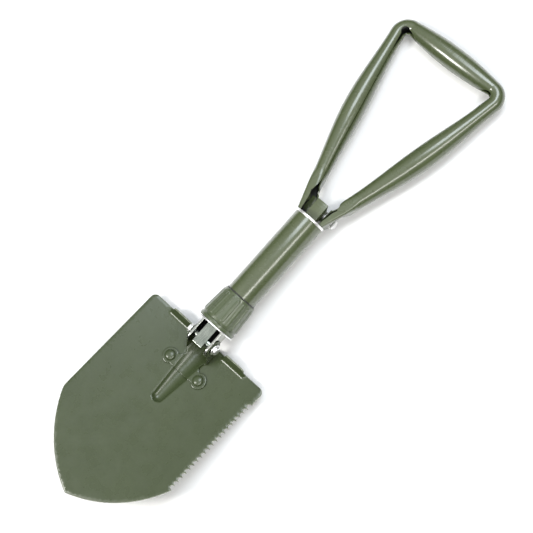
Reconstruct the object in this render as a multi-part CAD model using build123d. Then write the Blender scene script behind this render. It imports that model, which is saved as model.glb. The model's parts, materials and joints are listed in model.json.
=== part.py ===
from build123d import *
import math
import os

# Folding camp shovel, millimetres.
# Built about the blade's pivot: X along the pivot pin, +Y up the shaft to the handle, +Z to the
# digging face. Every piece is moved at the end so that the origin is under the middle of the
# whole shovel as it lies on its back.

# --- fits and clearances ---
run_fit = 0.05          # radial gap of a pin that turns in its hole
seat_gap = 0.05         # gap between pressed or riveted faces
side_gap = 0.20         # gap between cheeks that turn past each other
slide_gap = 0.20        # radial gap of the collar on its thread and tube

# --- blade ---
blade_half = 77.5       # half of the blade's width
blade_top = 3.6         # top edge above the pivot
blade_tip = 200.1       # tip below the pivot
point_bulge = 10.8      # how far each side of the point bows out of a straight line
shoulder_round = 6.0
turn_round = 12.0
tip_round = 3.0
blade_sheet = 2.0
blade_drop = 19.9       # centre of the digging face behind the pivot
dish_depth = 5.0        # edges stand this far above the centre line
blade_tilt = 7.7        # tip leans this many degrees to the digging side

# --- saw teeth on the +X side ---
tooth_count = 21
tooth_start = 14.1      # first gullet starts this far below the pivot
tooth_pitch = 5.35
tooth_depth = 3.4
tooth_land = 0.65       # straight edge below the last tooth, where the side turns to the point
gullet_share = 0.68     # gullet bottom, as a share of the pitch
gullet_bow = 0.22       # fullest point of the hollow, as a share of the pitch
gullet_fill = 0.78      # and as a share of the depth

# --- socket groove pressed into the blade ---
groove_top_half = 11.5
groove_top_depth = 5.5
groove_end_half = 5.8
groove_end_depth = 4.0
groove_length = 73.0    # from the top edge to the centre of the round end

# --- foot steps turned forward from the top edge ---
step_inner = 21.5
step_outer = 51.0
step_height = 8.0       # straight flange beyond the bend
step_bend = 2.5         # inside radius of the bend
step_angle = 60.0
step_taper = 3.5
step_relief = 0.5       # cut in the top edge at each end of a step

# --- pivot pin, washers and hinge bracket ---
pin_radius = 3.0
pin_head_over = 1.6     # head beyond the pin, all round
pin_head_length = 3.2
head_chamfer = 0.8
washer_width = 3.15
washer_thick = 1.0
bracket_sheet = 1.8
lug_radius = 9.5
lug_foot_low = 15.3     # front of the lug's foot, below the pivot
lug_foot_high = 2.0
neck_half = 10.7
neck_y = 20.5
neck_flare = 1.0        # outline opens this much again just below the neck
neck_fall = 3.0
rivet_x = 19.9
rivet_y = 32.4
lobe_radius = 8.4
bracket_low = 38.5
bracket_low_in = 3.0    # end of the straight lower edge, inside the rivet
rivet_radius = 2.6
rivet_dome_radius = 5.8
rivet_dome_height = 3.2
rivet_back_radius = 4.6
rivet_back_height = 1.2

# --- fork ---
fork_half = 13.3
fork_cheek = 2.5
fork_depth_half = 8.0
fork_nose = 11.5        # cheek beyond the pivot
fork_shoulder = 24.0    # where the cheeks narrow to enter the tube
fork_length = 60.0
fork_floor = 4.0
fork_pin_radius = 2.0
fork_pin_inset = 8.0    # from each end of the fork's shank
spacer_wall = 1.35
leaf_half = 5.9
leaf_thick = 2.0
leaf_clear = 0.4  # leaf in front of the spacer
leaf_nose = 8.0
leaf_chamfer = 0.6

# --- shaft ---
tube_radius = 16.4
tube_wall = 1.5
tube_start = 1.0        # tube starts this far above the fork's shoulder
tube_high = 156.6
end_ring_length = 2.5
end_ring_lip = 0.6
ring_chamfer = 0.3

# --- locking collar, its thread and rings ---
sleeve_length = 13.0
thread_wall = 1.0
collar_low = 18.5
collar_length = 36.5
collar_base_wall = 2.3  # over the thread
collar_top_wall = 1.0   # over the tube
collar_flange_wall = 3.4
collar_flange = 4.0
collar_groove = 1.8
collar_groove_wall = 0.9
collar_edge = 0.5
collar_travel = 4.5     # down onto the fork, towards the blade
lip_gap = 1.0           # end of the wide bore above the thread, with the collar at its lowest
rib_count = 16
rib_width = 4.0
rib_height = 0.6
rib_margin = 4.0
ring_thick = 1.5
ring_bore_gap = 0.65
ring_gap = 0.1          # under the collar
seal_thick = 1.0
seal_wall = 0.6

# --- handle joint ---
yoke_half = 6.6
yoke_front = 3.2
yoke_plug = 17.0
yoke_plug_rise = 0.4    # top of the plug above the tube, inside the ring
yoke_slope = 3.0        # chamfer at the back of the tongue's top
yoke_lug_wall = 3.0
yoke_rise = 20.4        # top of the tongue above the ring's rim
handle_pin_rise = 10.4
handle_pin_z = -10.5
handle_washer_over = 2.5
handle_head_over = 2.0
handle_head_length = 2.8
yoke_rivet_radius = 2.0
yoke_rivet_head = 3.6
yoke_rivet_rise = 1.0
spring_half = 6.7
spring_thick = 2.0
ear_gap = 0.3           # ear over the rim of the shaft
ear_width = 8.5
ear_inset = 0.3         # back of the ear, in front of the back of the arm
ear_lobe_wall = 3.5
ear_bridge = 9.0        # web behind the ear ends this far above the pin
ear_over = 4.0          # ear runs this far up over the round arm
ear_waist = 6.0         # and its outer edge reaches full width this far below it
ear_edge_in = 1.0       # outer edge inside the arm's side
ear_throat_in = 2.5     # inner edge inside the arm's other side
ear_shoulder = 7.0      # inner edge leaves the tongue this far above the pin
bush_wall = 1.5

# --- handle frame, a closed tube bent to a triangle ---
handle_z = -0.5
arm_rise = 32.9         # the round arm starts this far above the rim
arm_out = 4.7           # its centre line there, outside the ear
arm_bow = 3.0
arm_end_radius = 7.8
arm_mid_radius = 11.8
grip_rise = 212.5       # centre line of the grip above the rim
grip_mid_radius = 12.0
bend_radius = 11.0
bend_x = 51.4
frame_wall = 1.5
seam_gap = 1.2
seam_start = 12.0       # seam opens this far above the round arm's start
arm_sections = 7

# --- worked out from the sizes above ---
teeth_end = -tooth_start - tooth_count * tooth_pitch
turn_y = teeth_end - tooth_land
dish_radius = (blade_half ** 2 + dish_depth ** 2) / (2 * dish_depth)
lug_inner = fork_half + side_gap
lug_outer = lug_inner + bracket_sheet
washer_inner = lug_outer + seat_gap
head_inner = washer_inner + washer_thick + seat_gap
pin_hole = pin_radius + run_fit
pin_head_radius = pin_radius + pin_head_over
washer_radius = pin_hole + washer_width
spacer_radius = pin_hole + spacer_wall
fork_inner = fork_half - fork_cheek
fork_corner = math.hypot(fork_half, fork_depth_half)
fork_pin_y = (fork_shoulder + fork_pin_inset, fork_length - fork_pin_inset)
tube_bore = tube_radius - tube_wall
tube_low = fork_shoulder + tube_start
sleeve_high = tube_low + sleeve_length
thread_radius = tube_radius + thread_wall
collar_bore = thread_radius + slide_gap
collar_lip_bore = tube_radius + slide_gap
collar_high = collar_low + collar_length
collar_base_radius = collar_bore + collar_base_wall
collar_top_radius = collar_lip_bore + collar_top_wall
collar_flange_radius = collar_bore + collar_flange_wall
collar_groove_radius = collar_bore + collar_groove_wall
lip_start = sleeve_high + collar_travel + lip_gap
seal_radius = collar_lip_bore + seal_wall
rim = tube_high + end_ring_length
handle_pin_y = rim + handle_pin_rise
handle_washer_radius = pin_radius + handle_washer_over
handle_head_radius = pin_radius + handle_head_over
yoke_lug_radius = pin_radius + yoke_lug_wall
yoke_plug_high = tube_high + yoke_plug_rise
yoke_top = rim + yoke_rise
ear_inner = yoke_half + 2 * side_gap + washer_thick
ear_outer = ear_inner + ear_width
ear_back = handle_z - arm_end_radius + ear_inset
ear_front = handle_z + arm_end_radius
ear_lobe_radius = pin_radius + ear_lobe_wall
arm_low = rim + arm_rise
arm_low_x = ear_outer + arm_out
grip_y = rim + grip_rise
to_blade = Rot(-blade_tilt, 0, 0)


def turned_y(radius, low, high):
    """Solid cylinder about the Y axis from low to high."""
    return extrude(Plane.XZ.offset(-low) * Circle(radius), -(high - low))


def turned_x(radius, low, high, y=0.0, z=0.0):
    """Solid cylinder along X from low to high, at y and z."""
    return extrude(Plane.YZ.offset(low) * Pos(y, z) * Circle(radius), high - low)


def tube_x(outer, inner, low, high, y=0.0, z=0.0):
    return turned_x(outer, low, high, y, z) - turned_x(inner, low, high, y, z)


def side_plate(profile, low, high):
    """Extrudes a closed profile, drawn in Y and Z, along X from low to high."""
    return extrude(Plane.YZ.offset(low) * profile, high - low)


def mirrored(solid):
    return solid.mirror(Plane.YZ)


def dish_cylinder(offset):
    """The cylinder whose lowest line is `offset` in front of the digging face's centre."""
    length = 2 * (blade_tip + blade_half)
    axis = Pos(0, 0, dish_radius - blade_drop)
    return axis * Rot(90, 0, 0) * Cylinder(dish_radius - offset, length)


def groove_solid(offset):
    """The socket groove as a tapered round-ended plug, `offset` inside its own surface."""
    top_radius = (groove_top_half ** 2 + groove_top_depth ** 2) / (2 * groove_top_depth)
    end_radius = (groove_end_half ** 2 + groove_end_depth ** 2) / (2 * groove_end_depth)
    top_z = top_radius - groove_top_depth - blade_drop
    end_z = end_radius - groove_end_depth - blade_drop
    fall = Vector(0, -groove_length, end_z - top_z)
    start = Vector(0, blade_top, top_z)
    end = start + fall
    run_in = 0.2
    growth = (top_radius - end_radius) * run_in
    first = Plane(origin=start - fall * run_in, x_dir=(1, 0, 0), z_dir=fall)
    last = Plane(origin=end, x_dir=(1, 0, 0), z_dir=fall)
    cone = loft([
        first * Circle(top_radius + growth - offset),
        last * Circle(end_radius - offset),
    ], ruled=True)
    return cone + Pos(*end) * Sphere(end_radius - offset)


def pressed_sheet(outline, low, high):
    """Sheet between two heights over the digging face, dished and grooved like the blade."""
    reach = blade_half
    prism = extrude(Plane.XY.offset(-blade_drop - reach) * outline, 2 * reach)
    under_top = dish_cylinder(high)
    layer = dish_cylinder(low) - under_top
    trough = groove_solid(low) - under_top
    flat_part = layer & prism
    trough_part = trough & prism
    return (flat_part + trough_part) - groove_solid(high)


def on_dish(x):
    """Frame that stands square on the digging face at `x`, with its own Z along the normal."""
    angle = math.degrees(math.asin(x / dish_radius))
    centre_z = dish_radius - blade_drop
    return Pos(0, 0, centre_z) * Rot(0, -angle, 0) * Pos(0, 0, -dish_radius)


def tooth_edge():
    """The toothed side, from the first gullet down: a hollow front and a steep back per tooth."""
    edges = []
    for index in range(tooth_count):
        tip = -tooth_start - index * tooth_pitch
        gullet = (blade_half - tooth_depth, tip - gullet_share * tooth_pitch)
        bow = (blade_half - gullet_fill * tooth_depth, tip - gullet_bow * tooth_pitch)
        next_tip = (blade_half, tip - tooth_pitch)
        edges.append(ThreePointArc((blade_half, tip), bow, gullet))
        edges.append(Line(gullet, next_tip))
    return edges


def vertices_at(face, x, y):
    near = 0.01
    return [v for v in face.vertices() if abs(v.X - x) < near and abs(v.Y - y) < near]


def blade_outline():
    """Blade seen square to its face: square shoulders, toothed right side, bowed point."""
    point_length = math.hypot(blade_half, blade_tip + turn_y)
    middle_x = blade_half / 2 + point_bulge * (blade_tip + turn_y) / point_length
    middle_y = (turn_y - blade_tip) / 2 - point_bulge * blade_half / point_length
    corner = blade_half - shoulder_round
    shoulder = blade_top - shoulder_round
    edges = [
        Line((-corner, blade_top), (corner, blade_top)),
        RadiusArc((corner, blade_top), (blade_half, shoulder), shoulder_round),
        Line((blade_half, shoulder), (blade_half, -tooth_start)),
        *tooth_edge(),
        Line((blade_half, teeth_end), (blade_half, turn_y)),
        ThreePointArc((blade_half, turn_y), (middle_x, middle_y), (0, -blade_tip)),
        ThreePointArc((0, -blade_tip), (-middle_x, middle_y), (-blade_half, turn_y)),
        Line((-blade_half, turn_y), (-blade_half, shoulder)),
        RadiusArc((-blade_half, shoulder), (-corner, blade_top), shoulder_round),
    ]
    face = fillet(vertices_at(make_face(edges), 0, -blade_tip), tip_round)
    return fillet(vertices_at(face, -blade_half, turn_y), turn_round)


def step_notch():
    """Where the +X step leaves the blade's plane, so that the flat sheet stops short of its bend."""
    middle = (step_inner + step_outer) / 2
    width = step_outer - step_inner + 2 * step_relief
    depth = 2 * (step_bend + blade_sheet)
    return Pos(middle, blade_top) * Rectangle(width, depth)


def step_flange():
    """Foot step on the +X side: the top edge bent forward, with tapered ends."""
    middle = (step_inner + step_outer) / 2
    half = (step_outer - step_inner) / 2
    outer = step_bend + blade_sheet
    bend_start = blade_top - outer
    lean = math.radians(step_angle)

    def on_bend(radius, angle, rise=0.0):
        y = bend_start + radius * math.sin(angle) + rise * math.cos(angle)
        return (y, step_bend - radius * math.cos(angle) + rise * math.sin(angle))

    root = bend_start - step_bend
    inner_end = on_bend(step_bend, lean)
    outer_end = on_bend(outer, lean)
    inner_top = on_bend(step_bend, lean, step_height)
    outer_top = on_bend(outer, lean, step_height)
    profile = make_face([
        Line((root, 0), (bend_start, 0)),
        ThreePointArc((bend_start, 0), on_bend(step_bend, lean / 2), inner_end),
        Line(inner_end, inner_top),
        Line(inner_top, outer_top),
        Line(outer_top, outer_end),
        ThreePointArc(outer_end, on_bend(outer, lean / 2), (bend_start, -blade_sheet)),
        Line((bend_start, -blade_sheet), (root, -blade_sheet)),
        Line((root, -blade_sheet), (root, 0)),
    ])
    flange = side_plate(profile, -half, half)
    top = outer_top[1] + blade_sheet
    ends = make_face(Polyline(
        (-half, -2 * blade_sheet),
        (half, -2 * blade_sheet),
        (half, step_bend),
        (half - step_taper, top),
        (-half + step_taper, top),
        (-half, step_bend),
        close=True,
    ))
    window = extrude(Plane.XZ * ends, blade_tip, both=True)
    return on_dish(middle) * (flange & window)


def lug_profile():
    """Side view of a bracket lug: round about the pin, spread to its foot on the plate."""
    foot = -blade_drop + bracket_sheet / 2
    web = make_face(Polyline(
        (-lug_radius, 0),
        (-lug_foot_low, foot),
        (lug_foot_high, foot),
        (lug_radius, 0),
        close=True,
    ))
    return Circle(lug_radius) + web


def rivet_points():
    return [(side * rivet_x, -rivet_y) for side in (-1, 1)]


def drilled_for_rivets(solid):
    for x, y in rivet_points():
        hole = Cylinder(rivet_radius + seat_gap, 4 * blade_drop)
        solid = solid - on_dish(x) * Pos(0, y, 0) * hole
    return solid


def make_blade():
    notch = step_notch()
    outline = blade_outline() - notch - notch.mirror(Plane.YZ)
    sheet = pressed_sheet(outline, -blade_sheet, 0)
    flange = step_flange()
    clear = groove_solid(0)
    whole = sheet + (flange - clear) + (mirrored(flange) - clear)
    return to_blade * drilled_for_rivets(whole)


def bracket_outline():
    lug_low = -lug_foot_low
    half = make_face(Polyline(
        (0, lug_foot_high),
        (lug_outer, lug_foot_high),
        (lug_outer, lug_low),
        (neck_half, -neck_y),
        (neck_half + neck_flare, -neck_y - neck_fall),
        (rivet_x, -rivet_y),
        (rivet_x - bracket_low_in, -bracket_low),
        (0, -bracket_low),
        close=True,
    ))
    lobe = Pos(rivet_x, -rivet_y) * Circle(lobe_radius)
    half = half + lobe
    return half + half.mirror(Plane.YZ)


def make_bracket():
    plate = pressed_sheet(bracket_outline(), seat_gap, seat_gap + bracket_sheet)
    lug = side_plate(lug_profile(), lug_inner, lug_outer)
    lug = lug - dish_cylinder_below()
    body = plate + lug + mirrored(lug)
    body = body - turned_x(pin_hole, -washer_inner, washer_inner)
    return to_blade * drilled_for_rivets(body)


def dish_cylinder_below():
    """Everything behind the bracket's seat on the blade."""
    block = Pos(0, 0, -2 * blade_drop) * Box(4 * lug_outer, 8 * lug_outer, 2 * blade_drop + 2)
    return block - dish_cylinder(seat_gap)


def make_bracket_rivets():
    seat = seat_gap + bracket_sheet + seat_gap
    back = -blade_sheet - seat_gap
    dome_ball = (rivet_dome_radius ** 2 + rivet_dome_height ** 2) / (2 * rivet_dome_height)
    dome = Pos(0, 0, rivet_dome_height - dome_ball) * Sphere(dome_ball)
    above = Pos(0, 0, dome_ball) * Box(3 * dome_ball, 3 * dome_ball, 2 * dome_ball)
    head = Pos(0, 0, seat) * (dome & above)
    shank = extrude(Plane.XY.offset(back) * Circle(rivet_radius), seat - back)
    tail = extrude(Plane.XY.offset(back) * Circle(rivet_back_radius), -rivet_back_height)
    rivet = head + shank + tail
    return [to_blade * on_dish(x) * Pos(0, y, 0) * rivet for x, y in rivet_points()]


def make_blade_pin():
    tip = head_inner + pin_head_length
    shank = turned_x(pin_radius, -tip, tip)
    head = turned_x(pin_head_radius, head_inner, tip)
    head = chamfer(head.edges().group_by(Axis.X)[-1], head_chamfer)
    return shank + head + mirrored(head)


def make_blade_washers():
    ring = tube_x(washer_radius, pin_hole, washer_inner, washer_inner + washer_thick)
    return [ring, mirrored(ring)]


def make_fork():
    shank_depth = math.sqrt((tube_bore - seat_gap) ** 2 - fork_half ** 2)
    nose_centre = fork_depth_half - fork_nose
    cheek = make_face([
        Line((fork_shoulder, -fork_depth_half), (nose_centre, -fork_depth_half)),
        ThreePointArc(
            (nose_centre, -fork_depth_half), (-fork_nose, 0), (nose_centre, fork_depth_half)
        ),
        Line((nose_centre, fork_depth_half), (fork_shoulder, fork_depth_half)),
        Line((fork_shoulder, fork_depth_half), (fork_shoulder, shank_depth)),
        Line((fork_shoulder, shank_depth), (fork_length, shank_depth)),
        Line((fork_length, shank_depth), (fork_length, -shank_depth)),
        Line((fork_length, -shank_depth), (fork_shoulder, -shank_depth)),
        Line((fork_shoulder, -shank_depth), (fork_shoulder, -fork_depth_half)),
    ])
    side = side_plate(cheek, fork_inner, fork_half)
    floor_middle = fork_length - fork_floor / 2
    floor = Pos(0, floor_middle, 0) * Box(2 * fork_half, fork_floor, 2 * shank_depth)
    body = side + mirrored(side) + floor
    body = body - turned_x(pin_hole, -lug_inner, lug_inner)
    for y in fork_pin_y:
        body = body - turned_x(fork_pin_radius + seat_gap, -lug_inner, lug_inner, y)
    return body


def make_fork_pins():
    """Cross pins that hold the fork in the tube, flush with the tube's wall."""
    pins = []
    for y in fork_pin_y:
        pin = turned_x(fork_pin_radius, fork_inner, tube_radius - slide_gap, y)
        pins += [pin, mirrored(pin)]
    return pins


def make_fork_spacer():
    half = fork_inner - seat_gap
    return tube_x(spacer_radius, pin_hole, -half, half)


def make_locking_leaf():
    length = fork_length - fork_floor - seat_gap + leaf_nose
    middle = -leaf_nose + length / 2
    level = spacer_radius + leaf_clear + leaf_thick / 2
    leaf = Pos(0, middle, level) * Box(2 * leaf_half, length, leaf_thick)
    return chamfer(leaf.edges().filter_by(Axis.X).group_by(Axis.Y)[0], leaf_chamfer)


def make_shaft_tube():
    tube = turned_y(tube_radius, tube_low, tube_high) - turned_y(tube_bore, tube_low, tube_high)
    for y in fork_pin_y:
        tube = tube - turned_x(fork_pin_radius + seat_gap, -thread_radius, thread_radius, y)
    return tube - yoke_rivet_hole()


def make_threaded_sleeve():
    bore = tube_radius + seat_gap
    return turned_y(thread_radius, tube_low, sleeve_high) - turned_y(bore, tube_low, sleeve_high)


def collar_cone(extra):
    """The collar's tapered body, `extra` outside its plain surface, as a solid about Y."""
    low = collar_low + collar_flange
    profile = make_face(Polyline(
        (0, low),
        (collar_base_radius + extra, low),
        (collar_top_radius + extra, collar_high),
        (0, collar_high),
        close=True,
    ))
    return revolve(profile, Axis.Y)


def make_collar():
    flange = turned_y(collar_flange_radius, collar_low, collar_low + collar_flange)
    flange = chamfer(flange.edges().filter_by(GeomType.CIRCLE), collar_edge)
    groove_high = collar_low + collar_flange + collar_groove
    ring = turned_y(collar_flange_radius, collar_low + collar_flange, groove_high)
    ring = ring - turned_y(collar_groove_radius, collar_low + collar_flange, groove_high)
    body = flange + (collar_cone(0) - ring)
    rib_low = groove_high + rib_margin / 2
    rib_high = collar_high - rib_margin
    band = collar_cone(rib_height)
    length = rib_high - rib_low
    middle = (rib_low + rib_high) / 2
    deep = 2 * collar_base_wall
    bar = Pos(0, middle, collar_base_radius) * Box(rib_width, length, deep)
    ribs = [(Rot(0, 360 / rib_count * i, 0) * bar) & band for i in range(rib_count)]
    for rib in ribs:
        body = body + rib
    body = body - turned_y(collar_bore, 0, lip_start)
    return body - turned_y(collar_lip_bore, 0, collar_high + collar_flange)


def make_thrust_ring():
    high = collar_low - ring_gap
    low = high - ring_thick
    outer = turned_y(collar_flange_radius, low, high)
    outer = chamfer(outer.edges().filter_by(GeomType.CIRCLE), ring_chamfer)
    return outer - turned_y(fork_corner + ring_bore_gap, low, high)


def make_collar_seal():
    low = collar_high
    ring = turned_y(seal_radius, low, low + seal_thick)
    return ring - turned_y(collar_lip_bore, low, low + seal_thick)


def make_end_ring():
    outer = turned_y(tube_radius + end_ring_lip, tube_high, rim)
    outer = chamfer(outer.edges().filter_by(GeomType.CIRCLE), ring_chamfer)
    return outer - turned_y(tube_bore, tube_high, rim)


def yoke_rivet_hole():
    y = tube_high - yoke_plug / 2
    hole = Cylinder(yoke_rivet_radius + seat_gap, tube_radius)
    return Pos(0, y, -tube_radius) * hole


def make_yoke():
    """Plug in the top of the tube with a tongue that carries the handle's pin."""
    plug_radius = tube_bore - seat_gap
    plug = turned_y(plug_radius, tube_high - yoke_plug, yoke_plug_high)
    back = -math.sqrt(plug_radius ** 2 - yoke_half ** 2)
    diagonal = yoke_lug_radius * math.sqrt(0.5)
    web = make_face(Polyline(
        (tube_high - yoke_plug / 2, back),
        (tube_high - yoke_plug / 2, yoke_front),
        (yoke_top - spring_thick / 2, yoke_front),
        (yoke_top - yoke_slope, yoke_front - yoke_slope),
        (handle_pin_y + diagonal, handle_pin_z - diagonal),
        (rim + ear_gap, back),
        close=True,
    ))
    lug = Pos(handle_pin_y, handle_pin_z) * Circle(yoke_lug_radius)
    tongue = side_plate(web + lug, -yoke_half, yoke_half)
    bore = turned_x(pin_radius + seat_gap, -ear_inner, ear_inner, handle_pin_y, handle_pin_z)
    return plug + tongue - bore - yoke_rivet_hole()


def make_yoke_rivet():
    y = tube_high - yoke_plug / 2
    deep = tube_radius / 2 - seat_gap
    shank = Pos(0, y, -tube_radius) * Cylinder(yoke_rivet_radius, 2 * deep)
    shank = shank & turned_y(tube_radius + yoke_rivet_rise, y - yoke_rivet_head, y + yoke_rivet_head)
    head = Pos(0, y, -tube_radius) * Cylinder(yoke_rivet_head, 2 * yoke_rivet_rise)
    tube_clear = tube_radius + seat_gap
    head = head - turned_y(tube_clear, y - 2 * yoke_rivet_head, y + 2 * yoke_rivet_head)
    return shank + head


def make_handle_spring():
    """Flat spring in front of the tongue, between the handle's ears."""
    length = yoke_top - yoke_plug_high
    z = yoke_front + seat_gap + spring_thick / 2
    strip = Pos(0, yoke_top - length / 2, z) * Box(2 * spring_half, length, spring_thick)
    return chamfer(strip.edges().filter_by(Axis.Z).group_by(Axis.Y)[-1], spring_thick / 2)


def make_handle_pin():
    inner = ear_outer + 2 * seat_gap + washer_thick
    tip = inner + handle_head_length
    shank = turned_x(pin_radius, -tip, tip, handle_pin_y, handle_pin_z)
    head = turned_x(handle_head_radius, inner, tip, handle_pin_y, handle_pin_z)
    head = chamfer(head.edges().group_by(Axis.X)[-1], head_chamfer)
    return shank + head + mirrored(head)


def handle_ring(outer, low, high):
    ring = tube_x(outer, pin_hole, low, high, handle_pin_y, handle_pin_z)
    return [ring, mirrored(ring)]


def make_handle_washers():
    low = ear_outer + seat_gap
    return handle_ring(handle_washer_radius, low, low + washer_thick)


def make_pivot_spacers():
    low = yoke_half + side_gap
    return handle_ring(handle_washer_radius, low, low + washer_thick)


def make_handle_bushes():
    return handle_ring(pin_radius + bush_wall, ear_inner, ear_outer)


def arm_axis():
    """Ends of one arm's centre line: above its ear, and where the corner bend starts."""
    low = Vector(arm_low_x, arm_low)
    bend_centre = Vector(bend_x, grip_y - bend_radius)
    run = bend_centre - low
    lean = math.atan2(run.X, run.Y) + math.asin(bend_radius / run.length)
    out = Vector(math.cos(lean), -math.sin(lean))
    return low, bend_centre + out * bend_radius, lean


def handle_body(inset):
    """The bent tube, `inset` inside its outer surface: two arms, two corners and the grip."""
    low, high, lean = arm_axis()
    run = high - low
    side = Vector(math.cos(lean), -math.sin(lean))
    sections = []
    for index in range(arm_sections):
        share = index / (arm_sections - 1)
        swell = math.sin(math.pi * share) ** 2
        centre = low + run * share + side * (arm_bow * math.sin(math.pi * share))
        radius = arm_end_radius + (arm_mid_radius - arm_end_radius) * swell - inset
        plane = Plane(
            origin=(centre.X, centre.Y, handle_z), x_dir=(0, 0, 1), z_dir=(run.X, run.Y, 0)
        )
        sections.append(plane * Circle(radius))
    arm = loft(sections)
    start = Plane(origin=(high.X, high.Y, handle_z), x_dir=(0, 0, 1), z_dir=(run.X, run.Y, 0))
    bend_axis = Axis((bend_x, grip_y - bend_radius, handle_z), (0, 0, 1))
    corner = revolve(
        start * Circle(arm_end_radius - inset), bend_axis, 90 + math.degrees(lean)
    )
    half = arm + corner
    end_y = grip_y + arm_end_radius - inset
    profile = make_face([
        Line((-bend_x, grip_y), (-bend_x, end_y)),
        ThreePointArc(
            (-bend_x, end_y),
            (0, grip_y + grip_mid_radius - inset),
            (bend_x, end_y),
        ),
        Line((bend_x, end_y), (bend_x, grip_y)),
        Line((bend_x, grip_y), (-bend_x, grip_y)),
    ])
    grip = Pos(0, 0, handle_z) * revolve(profile, Axis((0, grip_y, 0), (1, 0, 0)))
    return grip + half + mirrored(half)


def ear_solid():
    """Flattened end of one arm, from just over the shaft's rim to where the tube is round."""
    low = rim + ear_gap
    high = arm_low + ear_over
    outer_x = arm_low_x + arm_end_radius - ear_edge_in
    plan = make_face(Polyline(
        (ear_inner, low),
        (ear_outer, low),
        (ear_outer, handle_pin_y + handle_washer_radius + side_gap),
        (outer_x, arm_low - ear_waist),
        (outer_x, high),
        (arm_low_x - arm_end_radius + ear_throat_in, high),
        (ear_inner, handle_pin_y + ear_shoulder),
        close=True,
    ))
    plate = extrude(Plane.XY.offset(ear_back) * plan, ear_front - ear_back)
    lobe = turned_x(ear_lobe_radius, ear_inner, ear_outer, handle_pin_y, handle_pin_z)
    front = ear_back + frame_wall
    diagonal = ear_lobe_radius * math.sqrt(0.5)
    bridge = make_face(Polyline(
        (handle_pin_y - ear_lobe_radius, handle_pin_z),
        (handle_pin_y - ear_lobe_radius, front),
        (handle_pin_y + ear_bridge, front),
        (handle_pin_y + diagonal, handle_pin_z - diagonal),
        close=True,
    ))
    web = side_plate(bridge, ear_inner, ear_outer)
    bore_radius = pin_radius + bush_wall + seat_gap
    bore = turned_x(bore_radius, yoke_half, ear_outer + side_gap, handle_pin_y, handle_pin_z)
    return plate + lobe + web - bore


def make_handle_frame():
    ear = ear_solid()
    shell = handle_body(0) - handle_body(frame_wall)
    low, high, _ = arm_axis()
    seam_low = low.Y + seam_start
    inside = make_face(Polyline(
        (-low.X, seam_low),
        (low.X, seam_low),
        (high.X, high.Y),
        (bend_x, grip_y),
        (-bend_x, grip_y),
        (-high.X, high.Y),
        close=True,
    ))
    seam = extrude(Plane.XY.offset(handle_z - seam_gap / 2) * inside, seam_gap)
    return (shell - seam) + ear + mirrored(ear)


def solids_of(shape):
    if isinstance(shape, list):
        return [solid for piece in shape for solid in piece.solids()]
    return shape.solids()


def build_pieces():
    made = {
        "blade": make_blade(),
        "blade_bracket": make_bracket(),
        "bracket_rivets": make_bracket_rivets(),
        "blade_pivot_pin": make_blade_pin(),
        "blade_pivot_washers": make_blade_washers(),
        "fork": make_fork(),
        "fork_spacer": make_fork_spacer(),
        "fork_pins": make_fork_pins(),
        "locking_leaf": make_locking_leaf(),
        "shaft_tube": make_shaft_tube(),
        "threaded_sleeve": make_threaded_sleeve(),
        "locking_collar": make_collar(),
        "thrust_ring": make_thrust_ring(),
        "collar_seal": make_collar_seal(),
        "shaft_end_ring": make_end_ring(),
        "handle_yoke": make_yoke(),
        "yoke_rivet": make_yoke_rivet(),
        "handle_spring": make_handle_spring(),
        "handle_pivot_pin": make_handle_pin(),
        "handle_pivot_washers": make_handle_washers(),
        "pivot_spacers": make_pivot_spacers(),
        "handle_frame": make_handle_frame(),
        "handle_bushes": make_handle_bushes(),
    }
    pieces = {name: Compound(children=solids_of(shape)) for name, shape in made.items()}
    box = Compound(children=[solid for p in pieces.values() for solid in p.solids()]).bounding_box()
    shift = Pos(0, -(box.min.Y + box.max.Y) / 2, -box.min.Z)
    return {name: shift * piece for name, piece in pieces.items()}, shift


pieces, shift = build_pieces()
os.makedirs("parts", exist_ok=True)
for name, piece in pieces.items():
    export_step(piece, f"parts/{name}.step")
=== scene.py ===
import json
import math

import bmesh
import bpy
import numpy as np
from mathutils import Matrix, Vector, geometry


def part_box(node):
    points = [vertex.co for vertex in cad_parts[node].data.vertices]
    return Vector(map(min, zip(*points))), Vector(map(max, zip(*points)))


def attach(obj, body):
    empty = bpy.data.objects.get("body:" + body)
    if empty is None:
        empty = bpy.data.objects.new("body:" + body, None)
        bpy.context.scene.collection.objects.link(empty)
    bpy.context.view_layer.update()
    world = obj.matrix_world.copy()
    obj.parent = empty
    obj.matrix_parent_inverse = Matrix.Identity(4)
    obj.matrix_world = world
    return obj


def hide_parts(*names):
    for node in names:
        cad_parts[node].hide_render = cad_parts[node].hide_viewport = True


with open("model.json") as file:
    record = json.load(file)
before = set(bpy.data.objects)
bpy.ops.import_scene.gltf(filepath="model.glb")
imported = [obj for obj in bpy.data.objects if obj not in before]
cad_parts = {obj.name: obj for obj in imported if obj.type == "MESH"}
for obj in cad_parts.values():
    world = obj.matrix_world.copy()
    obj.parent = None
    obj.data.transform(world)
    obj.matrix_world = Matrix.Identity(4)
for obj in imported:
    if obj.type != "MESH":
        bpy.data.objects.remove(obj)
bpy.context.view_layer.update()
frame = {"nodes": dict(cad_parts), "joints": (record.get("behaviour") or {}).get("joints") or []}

# Folding camp shovel. Shapes are worked out in millimetres about the blade's pivot, in the
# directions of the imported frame: X along the pin, +Y up the shaft, +Z out of the digging face.
MM = 0.001
joints = {j["name"]: j for j in frame["joints"]}
pivot = Vector(joints["blade_fold"]["pos_m"])
handle_pin = (Vector(joints["handle_fold"]["pos_m"]) - pivot) / MM


def node_box(name):
    """Lowest and highest corner of a CAD node, in the working frame."""
    low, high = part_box(name)
    return (low - pivot) / MM, (high - pivot) / MM


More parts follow.
